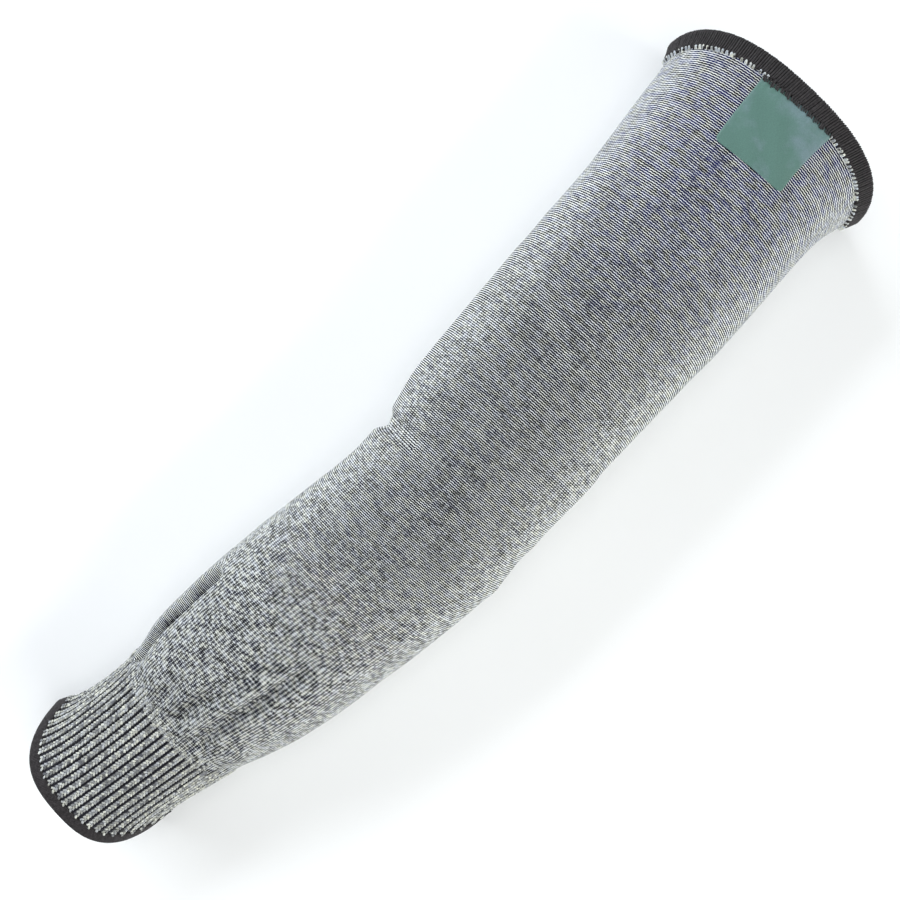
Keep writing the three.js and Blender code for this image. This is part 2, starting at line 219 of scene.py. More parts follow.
def frame_of(surface, at, round_):
    """A surface's point, its directions along the arm and outwards, and mm for each unit of at
    and radian of round_. square_pace is that of at, square to the way round."""
    step = 0.002
    high, low = np.minimum(at + step, 1), np.maximum(at - step, 0)
    along = (surface(high, round_) - surface(low, round_)) / (high - low)[..., None]
    around = (surface(at, round_ + step) - surface(at, round_ - step)) / (2 * step)
    out = np.cross(along, around)
    size = np.linalg.norm(out, axis=-1)
    round_pace = np.linalg.norm(around, axis=-1)
    return {
        "point": surface(at, round_),
        "along": along / np.linalg.norm(along, axis=-1)[..., None],
        "pace": np.linalg.norm(along, axis=-1),
        "round_pace": round_pace,
        "square_pace": size / round_pace,
        "out": out / size[..., None],
    }


def from_line(at, round_, line):
    """Distance from a fold's line over the unrolled cloth, and which side of it a place is on."""
    turned = (round_ + math.pi / 2) % (2 * math.pi) - math.pi / 2
    start = np.array([line[0] * SIDE_LENGTH, math.radians(line[1]) * MEAN_RADIUS])
    end = np.array([line[2] * SIDE_LENGTH, math.radians(line[3]) * MEAN_RADIUS])
    run = end - start
    place = np.stack(np.broadcast_arrays(at * SIDE_LENGTH, turned * MEAN_RADIUS), -1)
    share = np.clip((place - start) @ run / (run @ run), 0, 1)
    gap = place - start - share[..., None] * run
    return np.linalg.norm(gap, axis=-1), np.sign(run[0] * gap[..., 1] - run[1] * gap[..., 0])


def ripples(at, round_):
    """Slight unevenness of soft cloth, longer along the arm than round it."""
    x, y = at * SIDE_LENGTH, round_
    waves = [
        (0.30, 0.052, 3, 0.4), (0.26, 0.083, 5, 2.1), (0.20, 0.031, 7, 4.0),
        (0.14, 0.121, 4, 1.2), (0.10, 0.164, 9, 5.1), (0.08, 0.205, 6, 3.3),
    ]
    return sum(a * np.sin(k * x + n * y + p) * np.cos(0.6 * k * x - n * y) for a, k, n, p in waves)


def gathers(at, round_):
    """Small gathers that run on from the ribs of the cuff."""
    beyond = np.maximum(at - CUFF_END, 0) * SIDE_LENGTH
    waves = [(0.34, 19, 0.7, 15), (0.26, 28, 2.9, 10), (0.22, 13, 4.4, 26)]
    return sum(a * np.sin(n * round_ + p) * np.exp(-beyond / run) for a, n, p, run in waves)


def folds(at, round_):
    """How far the folds of the part's source move the skin, outwards."""
    total = np.zeros(np.broadcast_shapes(np.shape(at), np.shape(round_)))
    for line in FOLDS:
        distance, _ = from_line(at, round_, line)
        share = np.minimum(distance / (line[5] * FOLD_REACH), 1)
        total -= line[4] * FOLD_DEPTH * np.cos(share * math.pi / 2) ** 2
    return total


def relief(at, round_):
    """Folds, sharp creases, gathers and ripples together."""
    total = folds(at, round_)
    for line in CREASES:
        distance, side = from_line(at, round_, line)
        share = np.minimum(distance / np.where(side < 0, line[5], line[6]), 1)
        total -= line[4] * (1 - share) ** 2 * (1 + 2 * share)
    body = smooth(at, CUFF_END, CUFF_END + 0.05) * (1 - smooth(at, 0.93, 0.98))
    near = smooth(at, CUFF_END - 0.004, CUFF_END + 0.008)
    over = smooth(np.sin(round_), -0.35, 0.25)
    return total + (ripples(at, round_) * body + gathers(at, round_) * near) * over


def raised(height_of):
    """The plain skin moved outwards by a function of the place."""
    def surface(at, round_):
        bare = frame_of(plain_skin, at, round_)
        return bare["point"] + bare["out"] * height_of(at, round_)[..., None]
    return surface


skin = raised(relief)
cad_skin = raised(folds)


def off_skin(at, round_, height):
    place = frame_of(skin, at, round_)
    return place["point"] + place["out"] * np.asarray(height)[..., None]


def from_end(end, round_, distance):
    """The place a given distance from an end, measured over the skin and square to the edge."""
    edge = frame_of(skin, np.full(np.shape(round_), float(end)), round_)
    return np.abs(end - distance / edge["square_pace"])


def at_edge(end, round_, distance, height):
    return off_skin(from_end(end, round_, distance), round_, height)


def frame_shift():
    """From these coordinates to the frame, whose origin is the middle of the footprint: the upper
    binding's corners are worked out as in the part, and set against its box."""
    angles = np.arange(CAD_EDGE_SIDES) / CAD_EDGE_SIDES * 2 * math.pi
    outside = CLEARANCE + UPPER_BINDING_WALL
    edge = frame_of(cad_skin, np.ones(CAD_EDGE_SIDES), angles)
    corners = []
    for distance in (UPPER_BINDING_WIDTH, UPPER_BINDING_WALL * 0.6, 0):
        place = frame_of(cad_skin, np.abs(1 - distance / edge["square_pace"]), angles)
        height = outside if distance > 0 else CLEARANCE
        corners.append(place["point"] + place["out"] * height)
    corners = np.concatenate(corners)
    low, high = np.array(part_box("upper_binding")) * 1000
    return np.array([high[0] - corners[:, 0].max(), low[1] - corners[:, 1].min(), 0])


SHIFT = frame_shift()


# Meshes

def new_mesh(name, points, faces, edges=()):
    """A mesh in the frame, in metres, that nowhere goes under the floor."""
    mesh = bpy.data.meshes.new(name)
    world = (np.asarray(points).reshape(-1, 3) + SHIFT) / 1000
    world[:, 2] = np.maximum(world[:, 2], 0)
    mesh.from_pydata(world.tolist(), list(edges), faces)
    mesh.update()
    return mesh


def added(name, data):
    """A new object in the scene."""
    made = bpy.data.objects.new(name, data)
    bpy.context.scene.collection.objects.link(made)
    return made


def new_piece(name, mesh, material=None):
    piece = added(name, mesh)
    if material is not None:
        mesh.materials.clear()
        mesh.materials.append(material)
    mesh.shade_smooth()
    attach(piece, "root")
    return piece


def set_uv(mesh, places):
    layer = mesh.uv_layers.new(name="stitches")
    layer.data.foreach_set("uv", places.reshape(-1).astype(np.float32))


def ring_body(name, rows, material, stitches):
    """A closed body from rows of points that close on themselves, as does their sequence.
    stitches has the wale and course of each point, with one column more than rows."""
    count, sides = rows.shape[:2]
    row, side = np.meshgrid(np.arange(count), np.arange(sides), indexing="ij")
    next_row, next_side = (row + 1) % count, (side + 1) % sides
    quads = np.stack([
        row * sides + side, next_row * sides + side,
        next_row * sides + next_side, row * sides + next_side,
    ], -1).reshape(-1, 4)
    mesh = new_mesh(name, rows, quads.tolist())
    set_uv(mesh, np.stack([
        stitches[row, side], stitches[next_row, side],
        stitches[next_row, side + 1], stitches[row, side + 1],
    ], -2))
    return new_piece(name, mesh, material)


def arc_share(points):
    """Share of the way round each row, by length, with the whole way as a last column."""
    closed = np.concatenate([points, points[:, :1]], 1)
    lengths = np.linalg.norm(np.diff(closed, axis=1), axis=-1)
    total = np.concatenate([np.zeros((len(points), 1)), np.cumsum(lengths, 1)], 1)
    return total / total[:, -1:]


# Courses of knit: distance between them along the top, in mm
COURSE_PLACES = np.array([0.0, 0.10, 0.35, 0.50, 0.70, 0.85, 1.0])
COURSE_PITCH = np.array([1.15, 0.88, 0.92, 0.97, 1.04, 1.09, 1.06])


def course_table():
    """Places along the side edge, and the number of courses up to each."""
    at = np.linspace(0, 1, 800)
    top = plain_skin(at, np.full(800, math.pi / 2))
    steps = np.linalg.norm(np.diff(top, axis=0), axis=1)
    pitch = np.interp((at[1:] + at[:-1]) / 2, COURSE_PLACES, COURSE_PITCH)
    return at, np.concatenate([[0], np.cumsum(steps / pitch)])


COURSES = course_table()


def course_of(at):
    return np.interp(at, *COURSES)


def set_attribute(mesh, name, values, kind="FLOAT"):
    layer = mesh.attributes.new(name, kind, "POINT")
    key = "vector" if kind == "FLOAT_VECTOR" else "value"
    layer.data.foreach_set(key, np.asarray(values, np.float32).reshape(-1))


# Shader helpers

def node(tree, kind, inputs=None, **settings):
    made = tree.nodes.new(kind)
    for name, value in settings.items():
        setattr(made, name, value)
    for key, value in (inputs or {}).items():
        if isinstance(value, bpy.types.NodeSocket):
            tree.links.new(value, made.inputs[key])
        else:
            made.inputs[key].default_value = value
    return made


def maths(tree, operation, *values):
    return node(tree, "ShaderNodeMath", dict(enumerate(values)), operation=operation).outputs[0]


def mixed(tree, share, first, second):
    return node(tree, "ShaderNodeMix", {0: share, 6: first, 7: second}, data_type="RGBA").outputs[2]


def ranged(tree, value, low, high, to_low, to_high):
    inputs = {"Value": value, "From Min": low, "From Max": high, "To Min": to_low, "To Max": to_high}
    return node(tree, "ShaderNodeMapRange", inputs).outputs[0]


def noise(tree, place, scale, detail=2.0, roughness=0.5):
    inputs = {"Vector": place, "Scale": scale, "Detail": detail, "Roughness": roughness}
    return node(tree, "ShaderNodeTexNoise", inputs).outputs["Fac"]


def drawn_out_noise(tree, place, stretch, scale, detail):
    """Noise that is drawn out by a scale for each axis."""
    mapped = node(tree, "ShaderNodeMapping", {0: place, 3: stretch}).outputs[0]
    return noise(tree, mapped, scale, detail)


def attribute(tree, name):
    return node(tree, "ShaderNodeAttribute", attribute_name=name).outputs["Fac"]


def stitch_place(tree):
    return node(tree, "ShaderNodeUVMap", uv_map="stitches").outputs[0]


def object_place(tree):
    return node(tree, "ShaderNodeTexCoord").outputs["Object"]


def split(tree, place):
    return node(tree, "ShaderNodeSeparateXYZ", {0: place}).outputs


def waves(tree, value, count):
    """The sine of a value that runs through count whole turns for each unit."""
    return maths(tree, "SINE", maths(tree, "MULTIPLY", value, 2 * math.pi * count))


def scaled_color(tree, color, factor):
    return node(tree, "ShaderNodeVectorMath", {0: color, 3: factor}, operation="SCALE").outputs[0]


def vector(tree, x, y, z=0.0):
    return node(tree, "ShaderNodeCombineXYZ", {0: x, 1: y, 2: z}).outputs[0]


def white(tree, x, y, z):
    """A random value for each whole place."""
    inputs = {"Vector": vector(tree, x, y, z)}
    return node(tree, "ShaderNodeTexWhiteNoise", inputs, noise_dimensions="3D").outputs["Value"]


def cosine_share(tree, angle):
    return maths(tree, "MULTIPLY_ADD", maths(tree, "COSINE", angle), 0.5, 0.5)


def shader_group(name, inputs, outputs):
    """A node group with named sockets. Returns the tree, its input sockets and its output node."""
    tree = bpy.data.node_groups.new(name, "ShaderNodeTree")
    for label, kind, value in inputs:
        socket = tree.interface.new_socket(label, in_out="INPUT", socket_type=kind)
        socket.default_value = value
    for label, kind in outputs:
        tree.interface.new_socket(label, in_out="OUTPUT", socket_type=kind)
    return tree, tree.nodes.new("NodeGroupInput").outputs, tree.nodes.new("NodeGroupOutput").inputs


def marl_group():
    """Marled yarn: how light its fibres are at a place, and how far they lean to blue."""
    tree, given, made = shader_group(
        "marled_yarn",
        [
            ("Vector", "NodeSocketVector", (0, 0, 0)),
            ("Scale", "NodeSocketFloat", 1.0),
            ("Seed", "NodeSocketFloat", 0.0),
            ("Dark share", "NodeSocketFloat", 0.3),
        ],
        [("Light", "NodeSocketFloat"), ("Blue", "NodeSocketFloat")],
    )
    place = node(
        tree, "ShaderNodeVectorMath", {0: given["Vector"], 1: vector(tree, given["Seed"], given["Seed"])},
        operation="ADD",
    ).outputs[0]
    fibre = noise(tree, place, given["Scale"], 3.0, 0.65)
    light = ranged(tree, fibre, maths(tree, "MULTIPLY", given["Dark share"], 1.2), 0.62, 0.0, 1.0)
    blue = noise(tree, place, maths(tree, "MULTIPLY", given["Scale"], 0.37), 1.0, 0.5)
    tree.links.new(light, made["Light"])
    tree.links.new(ranged(tree, blue, 0.35, 0.65, 0.0, 1.0), made["Blue"])
    return tree


def knit_group():
    """Purl knit. Stitch has wales in x and courses in y. Mask is 1 on the light yarn: whole
    courses where Ladder is 0, and single stitches along the wales where it is 1. Bias makes
    the light yarn broader. Height follows the yarn, and Cell is random for each stitch."""
    tree, given, made = shader_group(
        "purl_knit",
        [
            ("Stitch", "NodeSocketVector", (0, 0, 0)),
            ("Ladder", "NodeSocketFloat", 0.0),
            ("Bias", "NodeSocketFloat", 0.0),
        ],
        [("Mask", "NodeSocketFloat"), ("Height", "NodeSocketFloat"), ("Cell", "NodeSocketFloat")],
    )
    ladder = given["Ladder"]
    wale, course, _ = split(tree, given["Stitch"])
    turn = maths(tree, "MULTIPLY", wale, 2 * math.pi)
    swung = maths(tree, "MULTIPLY_ADD", maths(tree, "SINE", turn), 0.08, course)
    row = cosine_share(tree, maths(tree, "MULTIPLY", swung, 2 * math.pi))
    bead = cosine_share(tree, turn)
    course_number = maths(tree, "ROUND", swung)
    cell = white(tree, maths(tree, "ROUND", wale), course_number, 1.0)
    offset = white(tree, course_number, 0.0, 7.0)
    dash_number = maths(tree, "FLOOR", maths(tree, "MULTIPLY_ADD", wale, 0.31, offset))
    dash = white(tree, dash_number, course_number, 3.0)

    def swayed(random, plain_width, ladder_width):
        """A shift about zero, as wide as the ladder gives."""
        width = ranged(tree, ladder, 0, 1, plain_width, ladder_width)
        return maths(tree, "MULTIPLY", maths(tree, "SUBTRACT", random, 0.5), width)

    sway = maths(tree, "ADD", swayed(cell, 0.06, 0.42), swayed(dash, 0.09, 0.14))
    across = maths(tree, "MULTIPLY", ladder, 0.62)
    pattern = node(tree, "ShaderNodeMix", {0: across, 2: row, 3: bead}).outputs[0]
    drawn = maths(tree, "ADD", maths(tree, "ADD", pattern, given["Bias"]), sway)
    soft = ranged(tree, ladder, 0, 1, 0.09, 0.36)
    inputs = {
        "Value": drawn,
        "From Min": maths(tree, "SUBTRACT", 0.5, soft),
        "From Max": maths(tree, "ADD", 0.5, soft),
    }
    mask = node(tree, "ShaderNodeMapRange", inputs, interpolation_type="SMOOTHSTEP").outputs[0]
    tree.links.new(mask, made["Mask"])
    tree.links.new(maths(tree, "MULTIPLY_ADD", row, 0.7, maths(tree, "MULTIPLY", bead, 0.3)), made["Height"])
    tree.links.new(cell, made["Cell"])
    return tree


MARL = marl_group()
KNIT = knit_group()


def new_material(name, roughness, sheen=0.0, gloss=0.2):
    material = bpy.data.materials.new(name)
    material.use_nodes = True
    surface = material.node_tree.nodes["Principled BSDF"]
    surface.inputs["Roughness"].default_value = roughness
    surface.inputs["Specular IOR Level"].default_value = gloss
    surface.inputs["Sheen Weight"].default_value = sheen
    surface.inputs["Sheen Roughness"].default_value = 0.45
    return material, material.node_tree, surface


def place_group(tree, group, inputs):
    return node(tree, "ShaderNodeGroup", inputs, node_tree=group).outputs


def marl_at(tree, place, scale, seed, dark_share):
    return place_group(tree, MARL, {"Vector": place, "Scale": scale, "Seed": seed, "Dark share": dark_share})


def bump(tree, surface, height, strength, distance):
    made = node(tree, "ShaderNodeBump", {"Strength": strength, "Distance": distance, "Height": height})
    tree.links.new(made.outputs[0], surface.inputs["Normal"])


# Colours of yarns and cloths
CREAM = (0.87, 0.88, 0.80, 1)
COOL_WHITE = (0.81, 0.84, 0.87, 1)
NAVY = (0.012, 0.014, 0.070, 1)
BLACK = (0.008, 0.008, 0.010, 1)
# The next colour is painted shade: the near black that fills the furrows between the cuff's ribs.
RIB_FURROW_SHADE = (0.030, 0.029, 0.042, 1)
RIB_CREST = (0.36, 0.37, 0.38, 1)
RIB_CREAM = (0.66, 0.66, 0.57, 1)
RIB_COOL = (0.44, 0.455, 0.47, 1)
LOOP_CREAM = (0.72, 0.72, 0.62, 1)
LOOP_COOL = (0.55, 0.59, 0.64, 1)
SATIN_TEAL = (0.080, 0.165, 0.140, 1)
SATIN_PALE = (0.130, 0.200, 0.215, 1)
CHARCOAL = (0.024, 0.021, 0.022)
CHARCOAL_THREAD = (0.030, 0.027, 0.028)

# The dark yarn turns from black to navy between these courses
NAVY_COURSES = (float(course_of(0.68)), float(course_of(0.90)))

# Single stitches of light yarn are darker than its whole courses by this share
LADDER_DIMMING = 0.32


def jersey_material():
    material, tree, surface = new_material("marled_jersey", 0.95, gloss=0.05)
    stitch = stitch_place(tree)
    ladder = attribute(tree, "ladder")
    streaks = ranged(tree, drawn_out_noise(tree, stitch, (1.6, 0.03, 1.0), 1.0, 1.0), 0.3, 0.7, -0.03, 0.03)
    clouds = ranged(tree, drawn_out_noise(tree, stitch, (0.10, 0.06, 1.0), 1.0, 2.0), 0.3, 0.7, -0.02, 0.02)
    # The attribute read here carries painted shade and light into the share of light yarn.
    bias = maths(tree, "ADD", maths(tree, "ADD", streaks, clouds), attribute(tree, "paleness_with_painted_shade"))
    knit = place_group(tree, KNIT, {"Stitch": stitch, "Ladder": ladder, "Bias": bias})
    marl = marl_at(tree, stitch, 1.1, 3.0, 0.22)
    dimming = ranged(tree, ladder, 0, 1, 1.0, 1 - LADDER_DIMMING)
    fibres = maths(tree, "MULTIPLY", ranged(tree, marl["Light"], 0.0, 1.0, 0.72, 1.04), dimming)
    light = scaled_color(tree, mixed(tree, marl["Blue"], CREAM, COOL_WHITE), fibres)
    upper = ranged(tree, split(tree, stitch)[1], *NAVY_COURSES, 0.15, 1.0)
    navy = maths(tree, "MULTIPLY", marl["Blue"], upper)
    most = ranged(tree, ladder, 0, 1, 0.02, 0.48)
    lift = maths(tree, "MULTIPLY", maths(tree, "POWER", knit["Cell"], 2.0), most)
    dark = mixed(tree, lift, mixed(tree, navy, BLACK, NAVY), light)
    tree.links.new(mixed(tree, knit["Mask"], dark, light), surface.inputs["Base Color"])
    bump(tree, surface, knit["Height"], 0.5, 0.0003)
    return material


def rib_ground_material():
    material, tree, surface = new_material("rib_ground", 0.95, 0.08)
    stitch = stitch_place(tree)
    marl = marl_at(tree, stitch, 1.4, 9.0, 0.3)
    fibres = ranged(tree, marl["Light"], 0.0, 1.0, 0.15, 0.60)
    # The colour darkens with the rib's depth: painted shade in the furrows. The marl's fibres are the yarn's
    # own colour.
    body = maths(tree, "MULTIPLY", attribute(tree, "crest_lit"), fibres)
    tree.links.new(mixed(tree, body, RIB_FURROW_SHADE, RIB_CREST), surface.inputs["Base Color"])
    bump(tree, surface, waves(tree, split(tree, stitch)[1], 1), 0.5, 0.0003)
    return material


def yarn_material(name, darkest, cream, cool):
    """Loose loops of marled yarn, each with its own share of dark fibres in its fleck."""
    material, tree, surface = new_material(name, 0.9, 0.15)
    place = object_place(tree)
    marl = marl_at(tree, place, 1500.0, 5.0, 0.22)
    fibres = ranged(tree, marl["Light"], 0.0, 1.0, 0.6, 1.05)
    flecked = maths(tree, "MULTIPLY", attribute(tree, "fleck"), fibres)
    share = node(tree, "ShaderNodeClamp", {0: flecked}).outputs[0]
    light = mixed(tree, marl["Blue"], cream, cool)
    tree.links.new(mixed(tree, share, darkest, light), surface.inputs["Base Color"])
    bump(tree, surface, noise(tree, place, 4000.0), 0.35, 0.0002)
    return material


def charcoal_material(name, color, roughness):
    """Mottled charcoal yarn. Returns the material, its tree, its surface and the place."""
    material, tree, surface = new_material(name, roughness, 0.10)
    place = object_place(tree)
    mottle = ranged(tree, noise(tree, place, 900.0, 3.0), 0.3, 0.7, 0.0, 1.0)
    low = tuple(c * 0.55 for c in color) + (1,)
    high = tuple(c * 1.45 for c in color) + (1,)
    tree.links.new(mixed(tree, mottle, low, high), surface.inputs["Base Color"])
    return material, tree, surface, place


def edging_material():
    """Overlocked edge: UV x counts its threads."""
    material, tree, surface, place = charcoal_material("charcoal_edging", CHARCOAL, 0.8)
    ridge = waves(tree, split(tree, stitch_place(tree))[0], 1)
    bump(tree, surface, maths(tree, "MULTIPLY_ADD", ridge, 0.5, noise(tree, place, 2500.0)), 0.5, 0.0003)
    return material


def thread_material():
    material, tree, surface, place = charcoal_material("charcoal_thread", CHARCOAL_THREAD, 0.7)
    bump(tree, surface, noise(tree, place, 3500.0, 3.0), 0.4, 0.0002)
    return material


def label_material():
    """Satin of fine threads, paler in clouds and towards its outer corner."""
    material, tree, surface = new_material("teal_satin_label", 0.5, 0.10, 0.35)
    place = stitch_place(tree)
    across, up, _ = split(tree, place)
    clouds = ranged(tree, noise(tree, place, 2.4, 4.0, 0.6), 0.45, 0.66, -0.1, 0.85)
    corner = maths(tree, "MULTIPLY_ADD", across, 0.45, maths(tree, "MULTIPLY", up, 0.75))
    rise = ranged(tree, corner, 0.62, 1.15, -0.15, 0.65)
    paler_share = node(tree, "ShaderNodeClamp", {0: maths(tree, "ADD", clouds, rise)}).outputs[0]
    fine = ranged(tree, drawn_out_noise(tree, place, (0.25, 1.0, 1.0), 160.0, 2.0), 0.3, 0.7, 0.86, 1.12)
    satin = scaled_color(tree, mixed(tree, paler_share, SATIN_TEAL, SATIN_PALE), fine)
    tree.links.new(satin, surface.inputs["Base Color"])
    warp = maths(tree, "MULTIPLY", waves(tree, across, 90), 0.4)
    bump(tree, surface, maths(tree, "MULTIPLY_ADD", waves(tree, up, 110), 0.6, warp), 0.25, 0.00012)
    return material


JERSEY = jersey_material()
RIB_GROUND = rib_ground_material()
YARN = yarn_material("rib_yarn", (0.024, 0.024, 0.034, 1), RIB_CREAM, RIB_COOL)
LOOP_YARN = yarn_material("edge_loop_yarn", (0.020, 0.020, 0.030, 1), LOOP_CREAM, LOOP_COOL)
EDGING = edging_material()
THREAD = thread_material()
LABEL = label_material()


# Geometry Nodes trees

def geometry_tree(name, inputs):
    """A tree with named inputs: the tree, their identifiers, its input sockets and its output node."""
    tree = bpy.data.node_groups.new(name, "GeometryNodeTree")
    tree.is_modifier = True
    tree.interface.new_socket("Geometry", in_out="INPUT", socket_type="NodeSocketGeometry")
    sockets = {}
    for label, kind in inputs:
        sockets[label] = tree.interface.new_socket(label, in_out="INPUT", socket_type=kind).identifier
    tree.interface.new_socket("Geometry", in_out="OUTPUT", socket_type="NodeSocketGeometry")
    return tree, sockets, tree.nodes.new("NodeGroupInput").outputs, tree.nodes.new("NodeGroupOutput")


def finish_tree(tree, given, end, geometry):
    smoothed = node(tree, "GeometryNodeSetShadeSmooth", {"Geometry": geometry}).outputs[0]
    real = node(tree, "GeometryNodeRealizeInstances", {"Geometry": smoothed}).outputs[0]
    inputs = {"Geometry": real, "Material": given["Material"]}
    tree.links.new(node(tree, "GeometryNodeSetMaterial", inputs).outputs[0], end.inputs[0])


def named(tree, name, kind):
    return node(tree, "GeometryNodeInputNamedAttribute", {"Name": name}, data_type=kind).outputs[0]


def thread_tree():
    """Lines become round threads. The thickness attribute scales each point's radius."""
    tree, sockets, given, end = geometry_tree("threads_along_lines", [
        ("Radius", "NodeSocketFloat"),
        ("Sides", "NodeSocketInt"),
        ("Material", "NodeSocketMaterial"),
    ])
    lines = node(tree, "GeometryNodeMeshToCurve", {"Mesh": given["Geometry"]}).outputs[0]
    circle = {"Resolution": given["Sides"], "Radius": given["Radius"]}
    ring = node(tree, "GeometryNodeCurvePrimitiveCircle", circle).outputs[0]
    thick = named(tree, "thickness", "FLOAT")
    inputs = {"Curve": lines, "Profile Curve": ring, "Scale": thick, "Fill Caps": True}
    finish_tree(tree, given, end, node(tree, "GeometryNodeCurveToMesh", inputs).outputs[0])
    return tree, sockets


def stitch_tree():
    """Each point becomes a rounded leg of yarn, turned and grown by its attributes."""
    tree, sockets, given, end = geometry_tree("stitch_legs", [
        ("Segments", "NodeSocketInt"),
        ("Rings", "NodeSocketInt"),
        ("Material", "NodeSocketMaterial"),
    ])
    ball = {"Segments": given["Segments"], "Rings": given["Rings"], "Radius": 1.0}
    leg = node(tree, "GeometryNodeMeshUVSphere", ball).outputs[0]
    turn = named(tree, "turn", "FLOAT_VECTOR")
    turned = node(tree, "FunctionNodeEulerToRotation", {0: turn}).outputs[0]
    grow = named(tree, "grow", "FLOAT_VECTOR")
    inputs = {"Points": given["Geometry"], "Instance": leg, "Rotation": turned, "Scale": grow}
    finish_tree(tree, given, end, node(tree, "GeometryNodeInstanceOnPoints", inputs).outputs[0])
    return tree, sockets


THREADS = thread_tree()
STITCHES = stitch_tree()


def grown(name, mesh, trees, inputs):
    """The tree's result on a mesh, as a plain piece."""
    tree, sockets = trees
    carrier = added(name + "_lines", mesh)
    modifier = carrier.modifiers.new("grow", "NODES")
    modifier.node_group = tree
    for label, value in inputs.items():
        modifier[sockets[label]] = value
    bpy.context.view_layer.update()
    result = bpy.data.meshes.new_from_object(carrier.evaluated_get(bpy.context.evaluated_depsgraph_get()))
    bpy.data.objects.remove(carrier)
    result.name = name
    places = np.zeros(len(result.vertices) * 3, np.float32)
    result.vertices.foreach_get("co", places)
    places[2::3] = np.maximum(places[2::3], 0)
    result.vertices.foreach_set("co", places)
    return new_piece(name, result)


def thread_piece(name, lines, thickness, radius, sides, material, fleck=None):
    """lines is an array of polylines (line, point, xyz); thickness has one value for each point."""
    count, length = lines.shape[:2]
    first = (np.arange(count)[:, None] * length + np.arange(length - 1)[None, :]).reshape(-1)
    mesh = new_mesh(name + "_mesh", lines, [], np.stack([first, first + 1], 1).tolist())
    set_attribute(mesh, "thickness", np.broadcast_to(thickness, (count, length)))
    if fleck is not None:
        set_attribute(mesh, "fleck", np.broadcast_to(np.asarray(fleck)[:, None], (count, length)))
    inputs = {"Radius": radius / 1000, "Sides": sides, "Material": material}
    return grown(name, mesh, THREADS, inputs)


def euler_of(ahead, out):
    """XYZ angles that turn X to ahead and Z to out."""
    aside = np.cross(out, ahead)
    aside /= np.linalg.norm(aside, axis=-1)[..., None]
    up = np.cross(ahead, aside)
    return np.stack([
        np.arctan2(aside[..., 2], up[..., 2]),
        -np.arcsin(np.clip(ahead[..., 2], -1, 1)),
        np.arctan2(ahead[..., 1], ahead[..., 0]),
    ], -1)


# Pieces

def spaced_rows():
    """Shares from the cuff to the edge, closer together at the wrist folds and the elbow notch."""
    at = np.linspace(0, 1, 4001)
    density = 1 + 1.6 * (at < 0.22) + 0.8 * np.exp(-((at - 0.44) / 0.05) ** 2)
    total = np.cumsum(density)
    total = (total - total[0]) / (total[-1] - total[0])
    return np.interp(np.linspace(0, 1, TUBE_ROWS), total, at)


# Share of light yarn in the plain knit, by the angle in degrees round the arm. It falls on the top and rises
# towards the sides: painted shade on the top and painted light on the sides.
LIGHT_SHARES_WITH_PAINTED_SHADE = np.array([
    (0, 0.40), (25, 0.34), (45, 0.26), (65, 0.23), (90, 0.20), (115, 0.22),
    (135, 0.25), (150, 0.29), (180, 0.37), (270, 0.38), (360, 0.40),
])

# What a change of that share does to the pattern, by ladder
PATTERN_STEEPNESS = np.array([(0, 1.36), (0.3, 1.02), (0.6, 0.82), (1.0, 0.97)])


def turned_edge(at):
    """The angle in degrees past which the left side's cloth turns under."""
    return np.interp(at, (0.108, 0.190, 0.240, 0.500), (161, 151, 157, 156))


def knit_ladder(at, degrees):
    """How far single stitches show in the knit: most near the cuff and at the sides. They don't in
    the strip along the elbow's left side and in the cloth that turns under at the wrist folds."""
    sides = smooth(np.abs(np.cos(np.radians(degrees))), 0.45, 0.95)
    ladder = 0.8 * (1 - smooth(at, 0.20, 0.42)) + 0.5 * sides * (1 - 0.6 * smooth(at, 0.5, 0.9))
    edge = turned_edge(at)
    turned = smooth(degrees, edge, edge + 3) * (1 - smooth(degrees, 190, 200))
    plain = turned * (smooth(at, 0.50, 0.53) * (1 - smooth(at, 0.74, 0.82)) + 1 - smooth(at, 0.24, 0.28))
    return np.clip(ladder + 0.04, 0, 1) * (1 - plain)


def pocket_shade(at, degrees):
    """Shadow in the crease at the wrist, on the cloth that turns under."""
    beyond = degrees - turned_edge(at)
    along = smooth(at, 0.114, 0.170) * (1 - smooth(at, 0.195, 0.245))
    return along * smooth(beyond, -2.5, 0) * (1 - smooth(beyond, 1.5, 12))


def crease_shade(at, degrees):
    """Light on one side of the two long creases past the cuff and shade on the other."""
    total = 0
    for start, start_angle, end, end_angle, depth, _, _ in CREASES[3:]:
        beside = degrees - np.interp(at, (start, end), (start_angle, end_angle))
        along = smooth(at, start - 0.005, start + 0.015) * (1 - smooth(at, end - 0.04, end + 0.01))
        shade = smooth(beside, -10, -2) * (1 - smooth(beside, -1, 1))
        ridge = smooth(beside, 0, 2) * (1 - smooth(beside, 2, 7))
        total = total + depth * along * (0.7 * ridge - shade)
    return total


